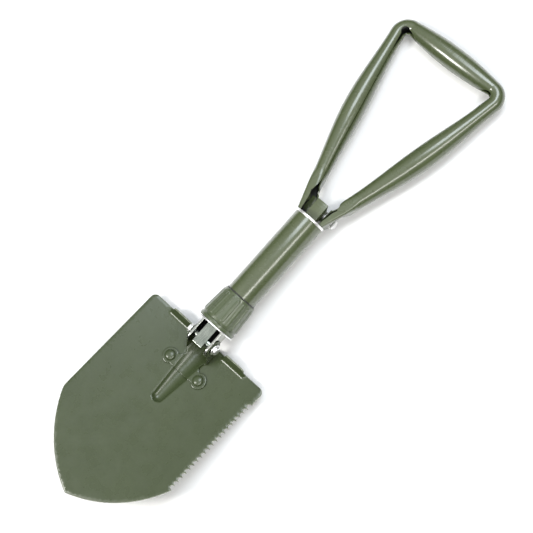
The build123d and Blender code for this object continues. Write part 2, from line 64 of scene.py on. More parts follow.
# --- sizes read from the frame ---
tube_low_corner, tube_high_corner = node_box("shaft_tube")
TUBE_RADIUS = tube_high_corner.x
TUBE_LOW, TUBE_HIGH = tube_low_corner.y, tube_high_corner.y
ring_high_corner = node_box("shaft_end_ring")[1]
RING_RADIUS, RIM = ring_high_corner.x, ring_high_corner.y
collar_low_corner, collar_high_corner = node_box("locking_collar")
COLLAR_LOW, COLLAR_HIGH, FLANGE_RADIUS = (
    collar_low_corner.y, collar_high_corner.y, collar_high_corner.x)
thrust_low_corner, thrust_high_corner = node_box("thrust_ring")
seal_low_corner, seal_high_corner = node_box("collar_seal")
spring_low_corner, spring_high_corner = node_box("handle_spring")
BLADE_HALF = node_box("blade")[1].x

# --- pressed blade and its hinge: the CAD's sizes, but with lower, softer steps ---
TUBE_WALL = 1.5
BLADE_TOP, BLADE_TIP, BLADE_SHEET = 3.6, 200.1, 2.0
BLADE_DROP, DISH_DEPTH, BLADE_TILT = 19.9, 5.0, math.radians(7.7)
POINT_BULGE, SHOULDER_ROUND, TURN_ROUND, TIP_ROUND = 10.8, 6.0, 12.0, 3.0
TOOTH_COUNT, TOOTH_START, TOOTH_PITCH, TOOTH_DEPTH, TOOTH_LAND = 21, 14.1, 5.35, 3.4, 0.65
GROOVE_TOP, GROOVE_END, GROOVE_LENGTH, GROOVE_BLEND = (11.5, 5.5), (5.8, 4.0), 73.0, 6.5
STEP_INNER, STEP_OUTER, STEP_HEIGHT, STEP_BEND = 21.5, 51.0, 6.0, 4.5
STEP_LEAN, STEP_TAPER = math.radians(60.0), 3.5
BRACKET_SHEET, SEAT_GAP, LUG_INNER, LUG_RADIUS = 1.8, 0.05, 13.5, 9.5
RIVET_X, RIVET_Y = 19.9, -32.4
DISH_RADIUS = (BLADE_HALF ** 2 + DISH_DEPTH ** 2) / (2 * DISH_DEPTH)
TURN_Y = -TOOTH_START - TOOTH_COUNT * TOOTH_PITCH - TOOTH_LAND

# --- handle ---
ARM_LOW, ARM_BOW, ARM_END_RADIUS, ARM_MID_RADIUS = Vector((21.2, 192.0)), 3.0, 7.8, 11.8
GRIP_Y, GRIP_MID_RADIUS, HANDLE_Z = 371.6, 12.0, -0.5
BEND_RADIUS, BEND_X, FRAME_WALL = 11.0, 51.4, 1.5
EAR_INNER, EAR_OUTER, EAR_BACK, EAR_FRONT = 8.0, 16.5, -8.0, 7.3


# ------------------------------------------------------------------ materials
def node_tree(name):
    material = bpy.data.materials.new(name)
    material.use_nodes = True
    nodes, links = material.node_tree.nodes, material.node_tree.links
    return material, nodes, links, nodes["Principled BSDF"]


def noise(nodes, links, coords, scale, detail=3.0, rough=0.55, stretch=None):
    texture = nodes.new("ShaderNodeTexNoise")
    texture.inputs["Scale"].default_value = scale
    texture.inputs["Detail"].default_value = detail
    texture.inputs["Roughness"].default_value = rough
    source = coords
    if stretch:
        mapping = nodes.new("ShaderNodeMapping")
        mapping.inputs["Scale"].default_value = stretch
        links.new(coords, mapping.inputs["Vector"])
        source = mapping.outputs["Vector"]
    links.new(source, texture.inputs["Vector"])
    return texture.outputs["Fac"]


def ramp(nodes, links, source, stops):
    """A colour ramp; each stop is a place and a colour, which is (r, g, b) or a lone (grey,)."""
    node = nodes.new("ShaderNodeValToRGB")
    elements = node.color_ramp.elements
    while len(elements) < len(stops):
        elements.new(0.5)
    for element, (place, colour) in zip(elements, stops):
        element.position = place
        element.color = (*colour, 1.0) if len(colour) == 3 else (colour[0],) * 3 + (1.0,)
    links.new(source, node.inputs["Fac"])
    return node.outputs["Color"]


def maths(nodes, links, operation, first, second=None):
    """A Math node on a socket and, if given, a second socket or number."""
    node = nodes.new("ShaderNodeMath")
    node.operation = operation
    links.new(first, node.inputs[0])
    if isinstance(second, float):
        node.inputs[1].default_value = second
    elif second is not None:
        links.new(second, node.inputs[1])
    return node.outputs["Value"]


def grey_map(nodes, links, source, low, high, start=0.3, stop=0.7):
    node = nodes.new("ShaderNodeMapRange")
    node.inputs["From Min"].default_value = start
    node.inputs["From Max"].default_value = stop
    node.inputs["To Min"].default_value = low
    node.inputs["To Max"].default_value = high
    links.new(source, node.inputs["Value"])
    return node.outputs["Result"]


def mix(nodes, links, share, first, second):
    node = nodes.new("ShaderNodeMix")
    node.data_type = "RGBA"
    links.new(share, node.inputs["Factor"])
    for socket, value in ((node.inputs["A"], first), (node.inputs["B"], second)):
        if isinstance(value, tuple):
            socket.default_value = (*value, 1.0)
        else:
            links.new(value, socket)
    return node.outputs["Result"]


def bump(nodes, links, shader, layers):
    """Chains bump nodes: each layer is (height, strength, distance in metres)."""
    normal = None
    for height, strength, distance in layers:
        node = nodes.new("ShaderNodeBump")
        node.inputs["Strength"].default_value = strength
        node.inputs["Distance"].default_value = distance
        links.new(height, node.inputs["Height"])
        if normal:
            links.new(normal, node.inputs["Normal"])
        normal = node.outputs["Normal"]
    links.new(normal, shader.inputs["Normal"])


def paint(name, light, dark, rough, coat, peel, highlight_colour):
    """Sprayed enamel on steel: drifts of tone, orange peel, and a painted highlight along edges."""
    material, nodes, links, shader = node_tree(name)
    coords = nodes.new("ShaderNodeTexCoord").outputs["Object"]
    drift = noise(nodes, links, coords, 22.0, 4.0)
    tone = ramp(nodes, links, drift, [(0.32, dark), (0.68, light)])
    fine = noise(nodes, links, coords, 420.0, 2.0)
    speck = ramp(nodes, links, fine, [(0.30, (0.86,)), (0.60, (1.0,))])
    shade = nodes.new("ShaderNodeMix")
    shade.data_type, shade.blend_type = "RGBA", "MULTIPLY"
    shade.inputs["Factor"].default_value = 0.6
    links.new(tone, shade.inputs["A"])
    links.new(speck, shade.inputs["B"])
    # Painted highlight: a per-vertex attribute mixes the edges towards the pale highlight colour.
    wear = nodes.new("ShaderNodeAttribute")
    wear.attribute_name = "wear"
    breakup = noise(nodes, links, coords, 260.0, 5.0, 0.7)
    highlight_amount = maths(nodes, links, "MULTIPLY", wear.outputs["Fac"], breakup)
    share = grey_map(nodes, links, highlight_amount, 0.0, 0.75, 0.22, 0.60)
    links.new(mix(nodes, links, share, shade.outputs["Result"], highlight_colour),
              shader.inputs["Base Color"])
    cloud = noise(nodes, links, coords, 70.0, 3.0)
    links.new(grey_map(nodes, links, cloud, rough - 0.05, rough + 0.06), shader.inputs["Roughness"])
    shader.inputs["Coat Weight"].default_value = coat
    shader.inputs["Coat Roughness"].default_value = 0.17
    peel_height = noise(nodes, links, coords, 650.0, 2.0, 0.5)
    wave_height = noise(nodes, links, coords, 120.0, 1.0, 0.4)
    bump(nodes, links, shader, [(peel_height, peel, 0.0002), (wave_height, peel, 0.0006)])
    return material


def metal(name, light, dark, rough, grain=0.25, stretch=(1.0, 1.0, 1.0), tint=None, painted_shade_box=None):
    """Plated or bare metal: drawn grain, clouded gloss and a faint colour drift.

    The last argument is (half width, height) in metres of the channel between the piece's sides,
    painted near black as painted shade.
    """
    material, nodes, links, shader = node_tree(name)
    coords = nodes.new("ShaderNodeTexCoord").outputs["Object"]
    cloud = noise(nodes, links, coords, 90.0, 4.0)
    colour = ramp(nodes, links, cloud, [(0.30, dark), (0.70, light)])
    if tint:
        drift = noise(nodes, links, coords, 35.0, 2.0)
        share = grey_map(nodes, links, drift, 0.0, 0.5, 0.45, 0.70)
        colour = mix(nodes, links, share, colour, tint)
    # Painted shade: the channel between the cheeks is painted near black.
    if painted_shade_box:
        split = nodes.new("ShaderNodeSeparateXYZ")
        links.new(coords, split.inputs["Vector"])
        width = maths(nodes, links, "ABSOLUTE", split.outputs["X"])
        between = maths(nodes, links, "LESS_THAN", width, painted_shade_box[0])
        below = maths(nodes, links, "LESS_THAN", split.outputs["Z"], painted_shade_box[1])
        slot_shade = maths(nodes, links, "MULTIPLY", between, below)
        colour = mix(nodes, links, slot_shade, colour, (0.010, 0.010, 0.009))
    links.new(colour, shader.inputs["Base Color"])
    shader.inputs["Metallic"].default_value = 1.0
    lines = noise(nodes, links, coords, 900.0, 3.0, 0.6, stretch)
    links.new(grey_map(nodes, links, lines, rough - 0.07, rough + 0.09), shader.inputs["Roughness"])
    bump(nodes, links, shader, [(lines, grain, 0.00006)])
    return material


def rubber(name):
    material, nodes, links, shader = node_tree(name)
    coords = nodes.new("ShaderNodeTexCoord").outputs["Object"]
    cloud = noise(nodes, links, coords, 300.0, 3.0)
    links.new(ramp(nodes, links, cloud, [(0.3, (0.012,)), (0.7, (0.030,))]),
              shader.inputs["Base Color"])
    links.new(grey_map(nodes, links, cloud, 0.5, 0.7), shader.inputs["Roughness"])
    bump(nodes, links, shader, [(cloud, 0.2, 0.0002)])
    return material


def floor_finish(name):
    material, nodes, links, shader = node_tree(name)
    coords = nodes.new("ShaderNodeTexCoord").outputs["Object"]
    cloud = noise(nodes, links, coords, 1.2, 2.0)
    links.new(ramp(nodes, links, cloud, [(0.3, (0.86, 0.86, 0.865)), (0.7, (0.875, 0.875, 0.875))]),
              shader.inputs["Base Color"])
    shader.inputs["Roughness"].default_value = 0.75
    shader.inputs["Specular IOR Level"].default_value = 0.15
    return material


# Pale olive that the paints mix in along edges as a painted highlight.
EDGE_HIGHLIGHT_TINT = (0.30, 0.32, 0.25)
BLADE_PAINT = paint("blade_paint", (0.044, 0.060, 0.024), (0.039, 0.054, 0.021), 0.29, 0.25, 0.08,
                    EDGE_HIGHLIGHT_TINT)
HANDLE_PAINT = paint("handle_paint", (0.074, 0.092, 0.040), (0.062, 0.080, 0.034), 0.26, 0.9, 0.05,
                     EDGE_HIGHLIGHT_TINT)
COLLAR_PAINT = paint("collar_paint", (0.080, 0.100, 0.052), (0.068, 0.088, 0.044), 0.28, 0.40, 0.10,
                     EDGE_HIGHLIGHT_TINT)
# Near-black steel for hollows: partly the bare steel's own dark finish, mostly painted shade.
INSIDE_SHADE_PAINT = paint("inside_painted_shade", (0.012, 0.013, 0.011), (0.007, 0.008, 0.007), 0.45, 0.0, 0.10,
                     (0.05, 0.05, 0.045))
ZINC = metal("zinc", (0.60, 0.62, 0.59), (0.44, 0.46, 0.44), 0.20, 0.25, (1.0, 0.15, 1.0),
             (0.56, 0.55, 0.47))
LEAF_STEEL = metal("leaf_steel", (0.34, 0.37, 0.33), (0.24, 0.27, 0.24), 0.24, 0.30,
                   (1.0, 0.12, 1.0))
PIN_STEEL = metal("pin_steel", (0.94, 0.94, 0.93), (0.84, 0.84, 0.83), 0.36, 0.15)
BRIGHT = metal("bright_ring", (0.97, 0.97, 0.96), (0.92, 0.92, 0.91), 0.42, 0.10, (0.2, 1.0, 0.2))
# The fork's zinc, with painted shade in the channel between its cheeks.
FORK_ZINC = metal("fork_zinc", (0.62, 0.64, 0.61), (0.46, 0.48, 0.45), 0.16, 0.25,
                  (1.0, 0.15, 1.0), (0.56, 0.55, 0.47), (10.95 * MM, pivot.z + 7.2 * MM))
BRASS = metal("bush_brass", (0.72, 0.55, 0.27), (0.55, 0.40, 0.18), 0.28)
RUBBER = rubber("seal_rubber")


# ------------------------------------------------------------------ mesh helpers
def smooth_step(value):
    value = np.clip(value, 0.0, 1.0)
    return value * value * (3 - 2 * value)


def rounded(points, radius, steps=4):
    """A closed outline with its corners rounded; radius is one number or one for each corner."""
    radii = radius if hasattr(radius, "__len__") else [radius] * len(points)
    out = []
    for index, corner in enumerate(points):
        here, size = Vector(corner), radii[index]
        before = Vector(points[index - 1]) - here
        after = Vector(points[(index + 1) % len(points)]) - here
        if not size or min(before.length, after.length) < 1e-6:
            out.append(tuple(here))
            continue
        room = 0.95 * min(before.length, after.length)
        u, v = before.normalized(), after.normalized()
        half = math.acos(max(-1.0, min(1.0, u.dot(v)))) / 2
        if half > math.radians(88) or half < 1e-3:
            out.append(tuple(here))
            continue
        reach = min(size / math.tan(half), room)
        fitted = reach * math.tan(half)
        centre = here + (u + v).normalized() * (fitted / math.sin(half))
        start, end = here + u * reach - centre, here + v * reach - centre
        first = math.atan2(start.y, start.x)
        turn = math.atan2(end.y, end.x) - first
        turn = (turn + math.pi) % (2 * math.pi) - math.pi
        for k in range(steps + 1):
            angle = first + turn * k / steps
            out.append((centre.x + fitted * math.cos(angle), centre.y + fitted * math.sin(angle)))
    return out


def resampled(points, spacing):
    """A closed outline with long sides divided so that no step is over the spacing."""
    out = []
    for index, point in enumerate(points):
        a, b = Vector(point), Vector(points[(index + 1) % len(points)])
        count = max(1, math.ceil((b - a).length / spacing))
        out += [tuple(a + (b - a) * k / count) for k in range(count)]
    return out


def arc_points(first, middle, last, spacing):
    """Points along the arc through three points, both ends included."""
    (ax, ay), (bx, by), (cx, cy) = first, middle, last
    d = 2 * (ax * (by - cy) + bx * (cy - ay) + cx * (ay - by))
    sa, sb, sc = ax * ax + ay * ay, bx * bx + by * by, cx * cx + cy * cy
    ox = (sa * (by - cy) + sb * (cy - ay) + sc * (ay - by)) / d
    oy = (sa * (cx - bx) + sb * (ax - cx) + sc * (bx - ax)) / d
    radius = math.hypot(ax - ox, ay - oy)
    start = math.atan2(ay - oy, ax - ox)
    wrap = lambda t: (t + math.pi) % (2 * math.pi) - math.pi
    half = wrap(math.atan2(by - oy, bx - ox) - start)
    turn = half + wrap(math.atan2(cy - oy, cx - ox) - start - half)
    count = max(2, math.ceil(abs(turn) * radius / spacing))
    return [(ox + radius * math.cos(start + turn * k / count),
             oy + radius * math.sin(start + turn * k / count)) for k in range(count + 1)]


class Shape:
    """Vertices, faces and painted edge highlight gathered in the working frame."""

    def __init__(self):
        self.points, self.faces, self.wear, self.slots = [], [], [], []

    def add(self, points, faces, wear=None):
        base = len(self.points)
        self.points += [tuple(map(float, p)) for p in points]
        self.wear += list(wear) if wear is not None else [0.0] * len(points)
        self.faces += [tuple(base + i for i in face) for face in faces]
        self.slots += [0] * len(faces)
        return self

    def moved(self, function):
        self.points = [tuple(function(Vector(p))) for p in self.points]
        return self


def make_piece(name, shape, material, body, nodes=(), sharp=38.0, bevel=0.0):
    mesh = bpy.data.meshes.new(name)
    mesh.from_pydata([tuple(pivot + Vector(p) * MM) for p in shape.points], [], shape.faces)
    mesh.polygons.foreach_set("material_index", shape.slots)
    # Per-vertex share of painted edge highlight, read by the paint shader.
    edge_highlight_layer = mesh.attributes.new("wear", "FLOAT", "POINT")
    edge_highlight_layer.data.foreach_set("value", np.array(shape.wear, np.float32))
    bm = bmesh.new()
    bm.from_mesh(mesh)
    bmesh.ops.remove_doubles(bm, verts=bm.verts, dist=1e-7)
    bmesh.ops.dissolve_degenerate(bm, edges=bm.edges, dist=1e-8)
    bmesh.ops.recalc_face_normals(bm, faces=bm.faces)
    if bevel:
        hard = [e for e in bm.edges
                if len(e.link_faces) == 2 and e.calc_face_angle() > math.radians(35)]
        bmesh.ops.bevel(bm, geom=hard, offset=bevel * MM, segments=3, profile=0.5,
                        affect="EDGES", clamp_overlap=True)
    bm.to_mesh(mesh)
    bm.free()
    mesh.shade_smooth()
    mesh.set_sharp_from_angle(angle=math.radians(sharp))
    obj = bpy.data.objects.new(name, mesh)
    bpy.context.scene.collection.objects.link(obj)
    for entry in material if isinstance(material, list) else [material]:
        mesh.materials.append(entry)
    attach(obj, body)
    if nodes:
        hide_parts(*nodes)
    return obj


def lathe(shape, profile, axis="y", count=128):
    """Turns a closed outline of (distance along the axis, radius) about the Y or Z axis."""
    along, up = Vector((0, 1, 0)), Vector((0, 0, 1))
    if axis == "z":
        along, up = up, along
    side = Vector((1, 0, 0))
    points, faces, size = [], [], len(profile)
    for k in range(count):
        angle = 2 * math.pi * k / count
        out = side * math.cos(angle) + up * math.sin(angle)
        points += [along * a + out * max(r, 0.0) for a, r in profile]
    for k in range(count):
        n = (k + 1) % count
        for i in range(size):
            j = (i + 1) % size
            if profile[i][1] <= 0 and profile[j][1] <= 0:
                continue
            quad = (k * size + i, k * size + j, n * size + j, n * size + i)
            if profile[i][1] <= 0:
                quad = (quad[0], quad[1], quad[2])
            elif profile[j][1] <= 0:
                quad = (quad[0], quad[1], quad[3])
            faces.append(quad)
    return shape.add(points, faces)


def prism(shape, outline, low, high, place):
    """Extrudes a closed outline between two levels; place turns (a, b, level) into a point."""
    size = len(outline)
    points = [place(a, b, low) for a, b in outline] + [place(a, b, high) for a, b in outline]
    faces = [tuple(range(size)), tuple(range(2 * size - 1, size - 1, -1))]
    faces += [(i, (i + 1) % size, size + (i + 1) % size, size + i) for i in range(size)]
    return shape.add(points, faces)


def inside(points, outline):
    """For each point, whether it is inside the closed outline, and how far from its line."""
    a = np.array(outline, float)
    b = np.roll(a, -1, axis=0)
    hit = np.zeros(len(points), bool)
    gap = np.full(len(points), 1e9)
    for (ax, ay), (bx, by) in zip(a, b):
        x, y = points[:, 0], points[:, 1]
        if ay != by:
            crosses = (ay > y) != (by > y)
            hit ^= crosses & (x < (bx - ax) * (y - ay) / (by - ay) + ax)
        dx, dy = bx - ax, by - ay
        share = np.clip(((x - ax) * dx + (y - ay) * dy) / max(dx * dx + dy * dy, 1e-12), 0, 1)
        gap = np.minimum(gap, np.hypot(x - ax - share * dx, y - ay - share * dy))
    return hit, gap


def sheet_mesh(shape, outline, place, front, back, spacing, fine=None, edge=0.4):
    """A pressed sheet over a flat outline, drawn anticlockwise, with rounded rims.

    place turns an array of flat points into points on the face; front and back are the two
    surfaces' heights along its normal; fine gives (test, spacing) for areas that need more points.
    """
    line = np.array(outline, float)
    before, after = np.roll(line, 1, axis=0), np.roll(line, -1, axis=0)
    t1, t2 = line - before, after - line
    t1 /= np.maximum(np.linalg.norm(t1, axis=1), 1e-9)[:, None]
    t2 /= np.maximum(np.linalg.norm(t2, axis=1), 1e-9)[:, None]
    n1, n2 = np.stack([-t1[:, 1], t1[:, 0]], 1), np.stack([-t2[:, 1], t2[:, 0]], 1)
    middle = n1 + n2
    middle /= np.maximum(np.linalg.norm(middle, axis=1), 1e-9)[:, None]
    miter = edge / np.clip((middle * n1).sum(1), 0.55, 1.0)
    ring = line + middle * miter[:, None]
    low, high = line.min(0), line.max(0)

    def grid(step):
        rows = []
        for r, y in enumerate(np.arange(low[1], high[1], step * 0.866)):
            xs = np.arange(low[0] + (r % 2) * step / 2, high[0], step)
            rows.append(np.stack([xs, np.full(len(xs), y)], 1))
        return np.concatenate(rows)

    points = grid(spacing)
    if fine:
        test, step = fine
        more = grid(step)
        points = np.concatenate([points[~test(points)], more[test(more)]])
        limits = np.where(test(points), step, spacing)
    else:
        limits = np.full(len(points), spacing)
    hit, gap = inside(points, ring)
    points = points[hit & (gap > 0.55 * limits)]
    size = len(ring)
    flat = [Vector(p) for p in ring] + [Vector(p) for p in points]
    edges = [(i, (i + 1) % size) for i in range(size)]
    made = geometry.delaunay_2d_cdt(flat, edges, [list(range(size))], 1, 1e-6)
    flat, triangles, origins = np.array([tuple(v) for v in made[0]]), made[2], made[3]
    index = {}
    for new, olds in enumerate(origins):
        for old in olds:
            index[old] = new
    ring_ids = [index[i] for i in range(size)]

    def surface(uv):
        step = 0.02
        here = place(uv)
        du = place(uv + np.array([step, 0])) - place(uv - np.array([step, 0]))
        dv = place(uv + np.array([0, step])) - place(uv - np.array([0, step]))
        normal = np.cross(du, dv)
        return here, normal / np.linalg.norm(normal, axis=1)[:, None]

    face, normal = surface(flat)
    rim, rim_normal = surface(line)
    total = len(flat)
    points = np.concatenate([
        face + normal * front, face + normal * back,
        rim + rim_normal * (front - 0.75 * edge), rim + rim_normal * (back + 0.75 * edge)])
    wear = np.zeros(len(points))
    # Painted highlight: full on the rounded rims, weaker on the ring just inside them.
    wear[2 * total:] = 1.0
    for i in ring_ids:
        wear[i] = wear[total + i] = 0.55
    faces = [tuple(t) for t in triangles]
    faces += [tuple(total + i for i in reversed(t)) for t in triangles]
    upper, lower = 2 * total, 2 * total + size
    for i in range(size):
        j = (i + 1) % size
        a, b = ring_ids[i], ring_ids[j]
        faces.append((b, a, upper + i, upper + j))
        faces.append((upper + j, upper + i, lower + i, lower + j))
        faces.append((lower + j, lower + i, total + a, total + b))
    return shape.add(points, faces, wear)


def tilted(point):
    """From the blade's own level frame to the working frame: the tip leans forward."""
    c, s = math.cos(-BLADE_TILT), math.sin(-BLADE_TILT)
    return Vector((point.x, point.y * c - point.z * s, point.y * s + point.z * c))


# ------------------------------------------------------------------ blade
def soft_min(a, b, width):
    share = np.clip(0.5 + 0.5 * (b - a) / width, 0.0, 1.0)
    return b * (1 - share) + a * share - width * share * (1 - share)


def digging_face(x, y):
    """Height of the digging face: a shallow dish with the socket groove pressed into it."""
    dish = DISH_RADIUS - np.sqrt(np.maximum(DISH_RADIUS ** 2 - x ** 2, 0)) - BLADE_DROP
    (top_half, top_depth), (end_half, end_depth) = GROOVE_TOP, GROOVE_END
    top_radius = (top_half ** 2 + top_depth ** 2) / (2 * top_depth)
    end_radius = (end_half ** 2 + end_depth ** 2) / (2 * end_depth)
    share = (BLADE_TOP - y) / GROOVE_LENGTH
    along = np.minimum(share, 1.0)
    radius = top_radius + (end_radius - top_radius) * along
    centre = radius - (top_depth + (end_depth - top_depth) * along) - BLADE_DROP
    past = np.maximum(share - 1.0, 0.0) * GROOVE_LENGTH
    inner = radius ** 2 - x ** 2 - past ** 2
    groove = centre - np.sqrt(np.maximum(inner, 0.0)) + 3.0 * np.maximum(-inner, 0.0) / radius
    return soft_min(dish, groove, GROOVE_BLEND)


def step_share(x):
    """How far the top edge is bent at x: 1 along a step, 0 outside it, smooth between."""
    middle, half = (STEP_INNER + STEP_OUTER) / 2, (STEP_OUTER - STEP_INNER) / 2
    return smooth_step((half + 1.5 - np.abs(np.abs(x) - middle)) / 3.2)


def blade_place(flat):
    """The digging face of the flat outline, with the steps of its top edge bent forward."""
    x, y = flat[:, 0], flat[:, 1]
    start = BLADE_TOP - STEP_BEND - BLADE_SHEET
    lean = STEP_LEAN * step_share(x)
    run = np.maximum(y - start, 0.0)
    arc = np.minimum(run, STEP_BEND * lean)
    angle = arc / STEP_BEND
    rest = run - arc
    up = STEP_BEND * np.sin(angle) + rest * np.cos(lean)
    out = STEP_BEND * (1 - np.cos(angle)) + rest * np.sin(lean)
    return np.stack([x, np.minimum(y, start) + up, digging_face(x, y) + out], 1)


def tooth_points():
    """The toothed side from its lowest tooth up: hooked points between rounded gullets."""
    out = []
    for index in reversed(range(TOOTH_COUNT)):
        tip = -TOOTH_START - index * TOOTH_PITCH
        low = tip - TOOTH_PITCH
        x = BLADE_HALF
        out += [(x, low), (x - 0.45 * TOOTH_DEPTH, low + 0.42), (x - 0.80 * TOOTH_DEPTH, low + 0.85),
                (x - 0.96 * TOOTH_DEPTH, low + 1.25), (x - TOOTH_DEPTH, low + 1.75),
                (x - 0.99 * TOOTH_DEPTH, low + 2.40), (x - 0.93 * TOOTH_DEPTH, low + 3.10),
                (x - 0.80 * TOOTH_DEPTH, low + 3.85), (x - 0.60 * TOOTH_DEPTH, low + 4.45),
                (x - 0.32 * TOOTH_DEPTH, low + 4.90)]
    out.append((BLADE_HALF, -TOOTH_START))
    return out


def step_tab(side):
    """The flat shape of one step, from its outer end to its inner end for the +X side."""
    top = BLADE_TOP - STEP_BEND - BLADE_SHEET + STEP_BEND * STEP_LEAN + STEP_HEIGHT
    corners = rounded([
        (STEP_OUTER + 3.2, BLADE_TOP), (STEP_OUTER + 0.2, BLADE_TOP), (STEP_OUTER - STEP_TAPER, top),
        (STEP_INNER + STEP_TAPER, top), (STEP_INNER - 0.2, BLADE_TOP), (STEP_INNER - 3.2, BLADE_TOP)],
        [0, 2.0, 2.4, 2.4, 2.0, 0], 5)
    return corners if side > 0 else [(-x, y) for x, y in reversed(corners)]


def blade_outline():
    length = math.hypot(BLADE_HALF, BLADE_TIP + TURN_Y)
    middle = (BLADE_HALF / 2 + POINT_BULGE * (BLADE_TIP + TURN_Y) / length,
              (TURN_Y - BLADE_TIP) / 2 - POINT_BULGE * BLADE_HALF / length)
    right = arc_points((0, -BLADE_TIP), middle, (BLADE_HALF, TURN_Y), 1.2)
    clear = 3.6
    right = [p for p in right if math.hypot(p[0], p[1] + BLADE_TIP) > clear]
    left = [(-x, y) for x, y in reversed(right)]
    left = [p for p in left if math.hypot(p[0] + BLADE_HALF, p[1] - TURN_Y) > clear]
    corners = [(0, -BLADE_TIP)] + right
    radii = [TIP_ROUND] + [0] * len(right)

    def extend(points, size=0):
        corners.extend(points)
        radii.extend([size] * len(points))

    extend(tooth_points())
    extend([(BLADE_HALF, BLADE_TOP)], SHOULDER_ROUND)
    extend(step_tab(1))
    extend(step_tab(-1))
    extend([(-BLADE_HALF, BLADE_TOP)], SHOULDER_ROUND)
    extend([(-BLADE_HALF, TURN_Y)], TURN_ROUND)
    extend(left)
    return resampled(rounded(corners, radii, 8), 1.3)


def blade_fine(points):
    x, y = np.abs(points[:, 0]), points[:, 1]
    groove = (x < 16.0) & (y > -82.0)
    steps = (y > -5.0) & (x > STEP_INNER - 6) & (x < STEP_OUTER + 6)
    return groove | steps


blade_shape = sheet_mesh(Shape(), blade_outline(), blade_place, 0.0, -BLADE_SHEET, 3.0,
                         (blade_fine, 1.15))
make_piece("blade_sheet", blade_shape.moved(tilted), BLADE_PAINT, "blade", ["blade"],
           sharp=50.0)

# ------------------------------------------------------------------ hinge bracket
LUG_MIDDLE = LUG_INNER + BRACKET_SHEET / 2
LUG_BEND = 2.0
LUG_FRONT = 7.4
NECK_Y = -16.5
FOOT_BOTTOM, FOOT_TOP, FOOT_HALF = -38.5, 2.0, 16.2
RIVET_LOBE = 8.4
BRACKET_REAR_GAP, BRACKET_RIM_HIGHLIGHT, HIGHLIGHT_BELOW = 0.75, 0.35, -18.0
BEND_START = LUG_MIDDLE - LUG_BEND
FOOT_Z = -BLADE_DROP + SEAT_GAP + BRACKET_SHEET / 2
PIN_RUN = BEND_START + LUG_BEND * math.pi / 2 - FOOT_Z - LUG_BEND


def bracket_place(flat):
    """Follows the digging face below the neck; above it the sides bend up into the lugs."""
    u, y = np.abs(flat[:, 0]), flat[:, 1]
    bent = y >= NECK_Y
    base_x = np.where(bent, np.minimum(u, BEND_START), u)
    angle = np.where(bent, np.clip((u - BEND_START) / LUG_BEND, 0.0, math.pi / 2), 0.0)
    rise = np.where(bent, np.maximum(u - BEND_START - LUG_BEND * math.pi / 2, 0.0), 0.0)
    plate = digging_face(base_x, y) + SEAT_GAP + BRACKET_SHEET / 2
    x = base_x + LUG_BEND * np.sin(angle)
    z = plate + LUG_BEND * (1 - np.cos(angle)) + rise
    return np.stack([np.sign(flat[:, 0]) * x, y, z], 1)


def bracket_outline():
    """Half outline on the +X side, anticlockwise from the lower middle, then mirrored."""
    circle = [(PIN_RUN + LUG_RADIUS * math.cos(a), LUG_RADIUS * math.sin(a))
              for a in np.linspace(-math.pi / 2, math.pi / 2, 25)]
    lobe = [(RIVET_X + RIVET_LOBE * math.cos(a), RIVET_Y + RIVET_LOBE * math.sin(a))
            for a in np.linspace(math.radians(-112), math.radians(128), 30)]
    foot = BEND_START + 1.2
    half = [(FOOT_HALF, FOOT_BOTTOM)] + lobe
    radii = [3.0] + [0] * len(lobe)
    half += [(11.7, -23.5), (10.7, -20.4), (12.2, -16.2), (foot + 1.6, -15.3)]
    radii += [2.0, 2.5, 1.5, 1.5]
    circle = [(min(x, PIN_RUN + LUG_FRONT), y) for x, y in circle]
    half += circle
    radii += [0] * len(circle)
    half += [(foot + 1.6, 2.2)]
    radii += [2.0]
    right = rounded([(0, FOOT_BOTTOM)] + half + [(0, FOOT_TOP)], [0] + radii + [0], 5)
    right = [p for p in right if p[0] > 1e-6]
    left = [(-x, y) for x, y in reversed(right)]
    return resampled(right + left, 1.2)


bracket_shape = sheet_mesh(Shape(), bracket_outline(), bracket_place, BRACKET_SHEET / 2,
                           BRACKET_REAR_GAP - BRACKET_SHEET / 2, 1.0, None, 0.35)
# Painted highlight on the bracket's lower rims only, the side the light falls on.
bracket_shape.wear = [BRACKET_RIM_HIGHLIGHT * w if y < HIGHLIGHT_BELOW else 0.0
                      for w, (x, y, z) in zip(bracket_shape.wear, bracket_shape.points)]
make_piece("hinge_bracket", bracket_shape.moved(tilted), BLADE_PAINT, "blade", ["blade_bracket"],
           sharp=50.0)


def on_dish(point, x):
    """From a frame square to the digging face at x to the blade's level frame."""
    angle = math.asin(x / DISH_RADIUS)
    c, s = math.cos(angle), math.sin(angle)
    z = point.z - DISH_RADIUS
    return Vector((point.x * c - z * s, point.y,
                   DISH_RADIUS - BLADE_DROP + point.x * s + z * c))


rivets = Shape()
for side in (-1, 1):
    rivet = Shape()
    seat = SEAT_GAP + BRACKET_SHEET - 0.1
    dome = [(seat, 0), (seat, 5.75), (seat + 0.35, 5.80)]
    dome += [(seat + 0.35 + 2.9 * math.sin(a), 5.8 * math.cos(a) ** 0.9)
             for a in np.linspace(0.12, math.pi / 2 - 0.06, 16)]
    dome += [(seat + 3.25, 0)]
    lathe(rivet, dome, axis="z", count=64)
    tail = [(-BLADE_SHEET + 0.1, 0), (-BLADE_SHEET + 0.1, 4.6), (-BLADE_SHEET - 0.5, 4.6),
            (-BLADE_SHEET - 1.0, 4.2), (-BLADE_SHEET - 1.25, 3.4), (-BLADE_SHEET - 1.25, 0)]
    lathe(rivet, tail, axis="z", count=48)
    rivet.moved(lambda p, x=side * RIVET_X: tilted(
        on_dish(Vector((p.x, p.y + RIVET_Y, p.z)), x)))
    rivets.add(rivet.points, rivet.faces)
make_piece("rivet_domes", rivets, BLADE_PAINT, "blade", ["bracket_rivets"])


